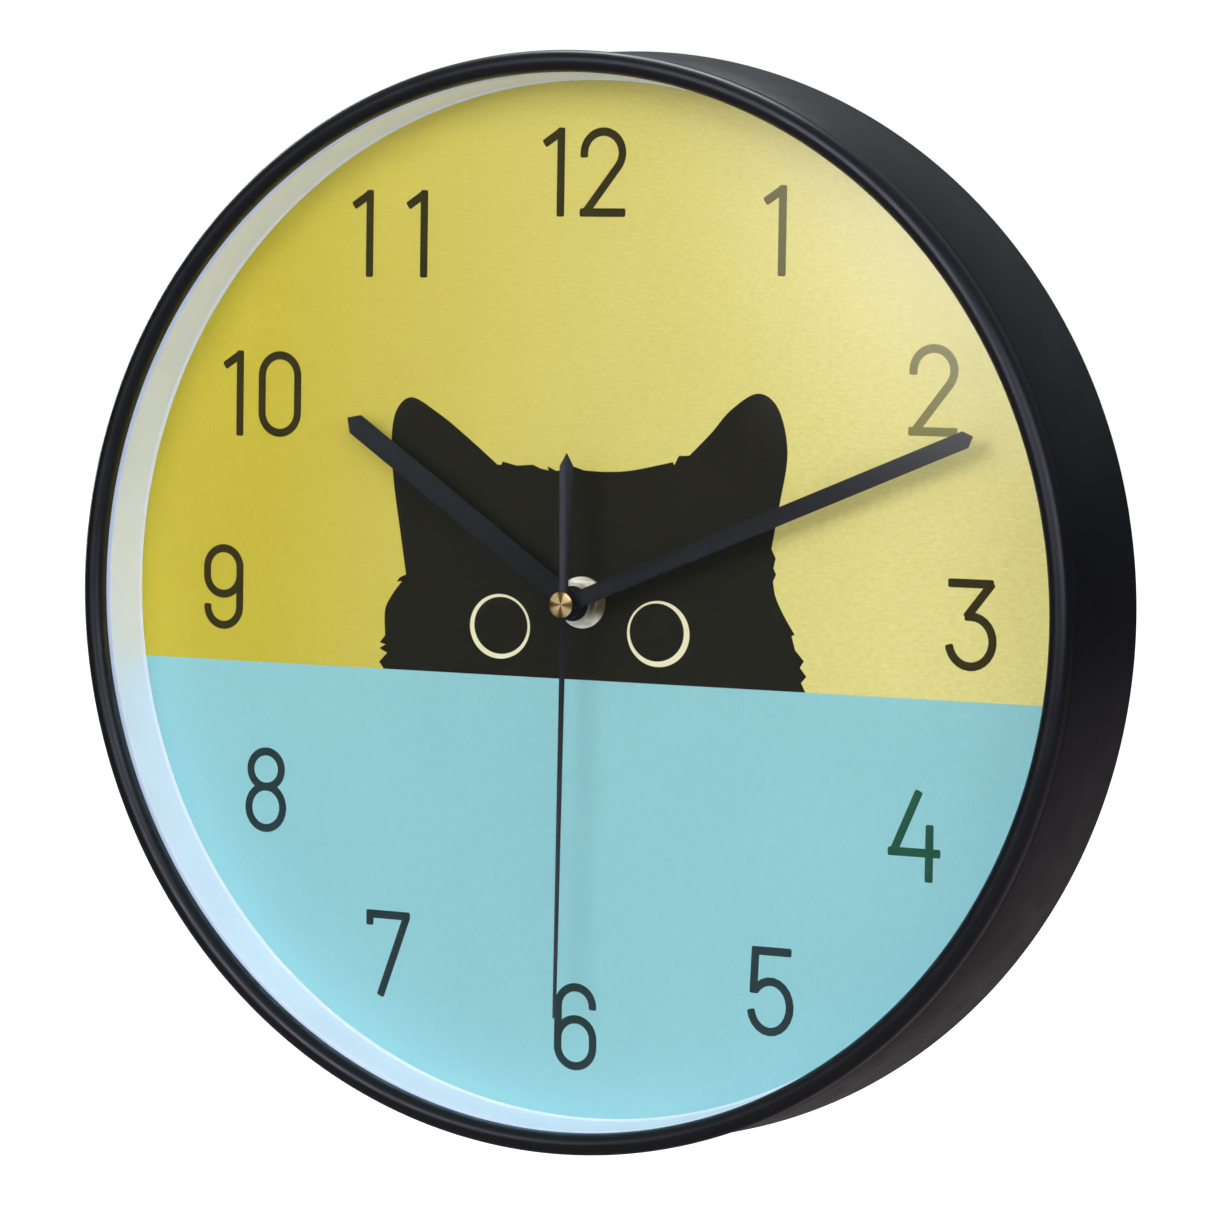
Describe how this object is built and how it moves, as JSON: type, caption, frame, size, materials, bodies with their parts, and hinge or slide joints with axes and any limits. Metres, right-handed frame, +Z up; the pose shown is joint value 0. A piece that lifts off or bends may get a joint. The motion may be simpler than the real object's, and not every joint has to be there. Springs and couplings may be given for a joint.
{
  "type": "wall clock",
  "caption": "Round quartz wall clock with a black moulded rim, flat glass, three turning hands, a printed animal-head dial and a battery movement on a hanger bracket.",
  "frame": {"origin": "centre of the bounding box, on the axis of the hands, midway between the front bead and the rear rim", "axes": "+Z up towards the 12; the dial faces -Y; +Y runs from the dial to the wall; +X to the 3"},
  "size_m": [0.2998, 0.046, 0.2998],
  "materials": {
    "case_black": "satin moulded",
    "front_glass": "polished flat",
    "ring_white": "glossy moulded",
    "dial_print": "matte print on card with a linen texture",
    "plate_black": "fine moulded texture",
    "screw_steel": "zinc plated",
    "bush_brass": "turned",
    "bracket_steel": "zinc plated sheet",
    "gasket_rubber": "matte",
    "movement_black": "fine spark-eroded texture",
    "gear_white": "natural moulded",
    "motor_steel": "sheet and ground steel",
    "coil_copper": "enamelled wire",
    "board_green": "solder mask",
    "battery_jacket": "printed sleeve",
    "contact_nickel": "nickel plated strip",
    "knob_grey": "moulded",
    "hand_slate": "satin slate paint",
    "cap_brass": "face turned"
  },
  "bodies": {
    "case": {"case_frame": "case_black", "glass_lens": "front_glass", "reflector_ring": "ring_white", "dial_paper": "dial_print", "dial_plate": "plate_black", "dial_plate_screws": "screw_steel", "threaded_bush": "bush_brass", "bush_washer": "bush_brass", "bush_nut": "bush_brass", "hanger_bracket": "bracket_steel", "rubber_gasket": "gasket_rubber", "movement_case": "movement_black", "middle_plate": "gear_white", "movement_cover": "movement_black", "stator": "motor_steel", "motor_core": "motor_steel", "coil_bobbin": "gear_white", "coil_winding": "coil_copper", "circuit_board": "board_green", "quartz_crystal": "screw_steel", "chip_cover": "plate_black", "battery_contact_positive": "contact_nickel", "battery_contact_negative": "contact_nickel"},
    "battery": {"battery": "battery_jacket"},
    "second_hand": {"second_hand": "hand_slate", "second_hand_cap": "cap_brass", "seconds_arbor": "motor_steel", "seconds_wheel": "gear_white"},
    "minute_hand": {"minute_hand": "hand_slate", "minute_tube": "bush_brass", "clutch_spring": "contact_nickel"},
    "hour_hand": {"hour_hand": "hand_slate", "hour_wheel": "gear_white"},
    "centre_wheel": {"centre_wheel": "gear_white"},
    "minute_work_wheel": {"minute_work_wheel": "gear_white"},
    "setting_knob": {"setting_arbor": "gear_white", "setting_knob": "knob_grey"},
    "third_wheel": {"third_wheel": "gear_white"},
    "intermediate_wheel": {"intermediate_wheel": "gear_white"},
    "rotor": {"rotor_pinion": "gear_white", "rotor_magnet": "motor_steel"}
  },
  "joints": [
    {"name": "second_hand_turn", "type": "hinge", "parent": "case", "child": "second_hand", "pos_m": [0, 0, 0], "axis": [0, 1, 0], "continuous": true},
    {"name": "minute_hand_turn", "type": "hinge", "parent": "case", "child": "minute_hand", "pos_m": [0, 0, 0], "axis": [0, 1, 0], "continuous": true},
    {"name": "hour_hand_turn", "type": "hinge", "parent": "case", "child": "hour_hand", "pos_m": [0, 0, 0], "axis": [0, 1, 0], "continuous": true},
    {"name": "centre_wheel_turn", "type": "hinge", "parent": "case", "child": "centre_wheel", "pos_m": [0, 0, 0], "axis": [0, 1, 0], "continuous": true},
    {"name": "minute_work_wheel_turn", "type": "hinge", "parent": "case", "child": "minute_work_wheel", "pos_m": [0.01057, 0, 0.00385], "axis": [0, 1, 0], "continuous": true},
    {"name": "setting_knob_turn", "type": "hinge", "parent": "case", "child": "setting_knob", "pos_m": [0.01991, 0, 0.01168], "axis": [0, 1, 0], "continuous": true},
    {"name": "third_wheel_turn", "type": "hinge", "parent": "case", "child": "third_wheel", "pos_m": [-0.01071, 0, 0.00189], "axis": [0, 1, 0], "continuous": true},
    {"name": "intermediate_wheel_turn", "type": "hinge", "parent": "case", "child": "intermediate_wheel", "pos_m": [0, 0, 0.00864], "axis": [0, 1, 0], "continuous": true},
    {"name": "rotor_turn", "type": "hinge", "parent": "case", "child": "rotor", "pos_m": [0.00594, 0, 0.01458], "axis": [0, 1, 0], "continuous": true},
    {"name": "battery_slide", "type": "slide", "parent": "case", "child": "battery", "axis": [0, 1, 0], "range_m": [0, 0.02]}
  ],
  "couplings": [
    {"joint": "intermediate_wheel_turn", "follows": "second_hand_turn", "ratio": -5},
    {"joint": "rotor_turn", "follows": "second_hand_turn", "ratio": 30},
    {"joint": "third_wheel_turn", "follows": "second_hand_turn", "ratio": -0.125},
    {"joint": "centre_wheel_turn", "follows": "second_hand_turn", "ratio": 0.016667},
    {"joint": "minute_work_wheel_turn", "follows": "minute_hand_turn", "ratio": -0.33333},
    {"joint": "hour_hand_turn", "follows": "minute_hand_turn", "ratio": 0.083333},
    {"joint": "setting_knob_turn", "follows": "minute_hand_turn", "ratio": 0.75}
  ]
}
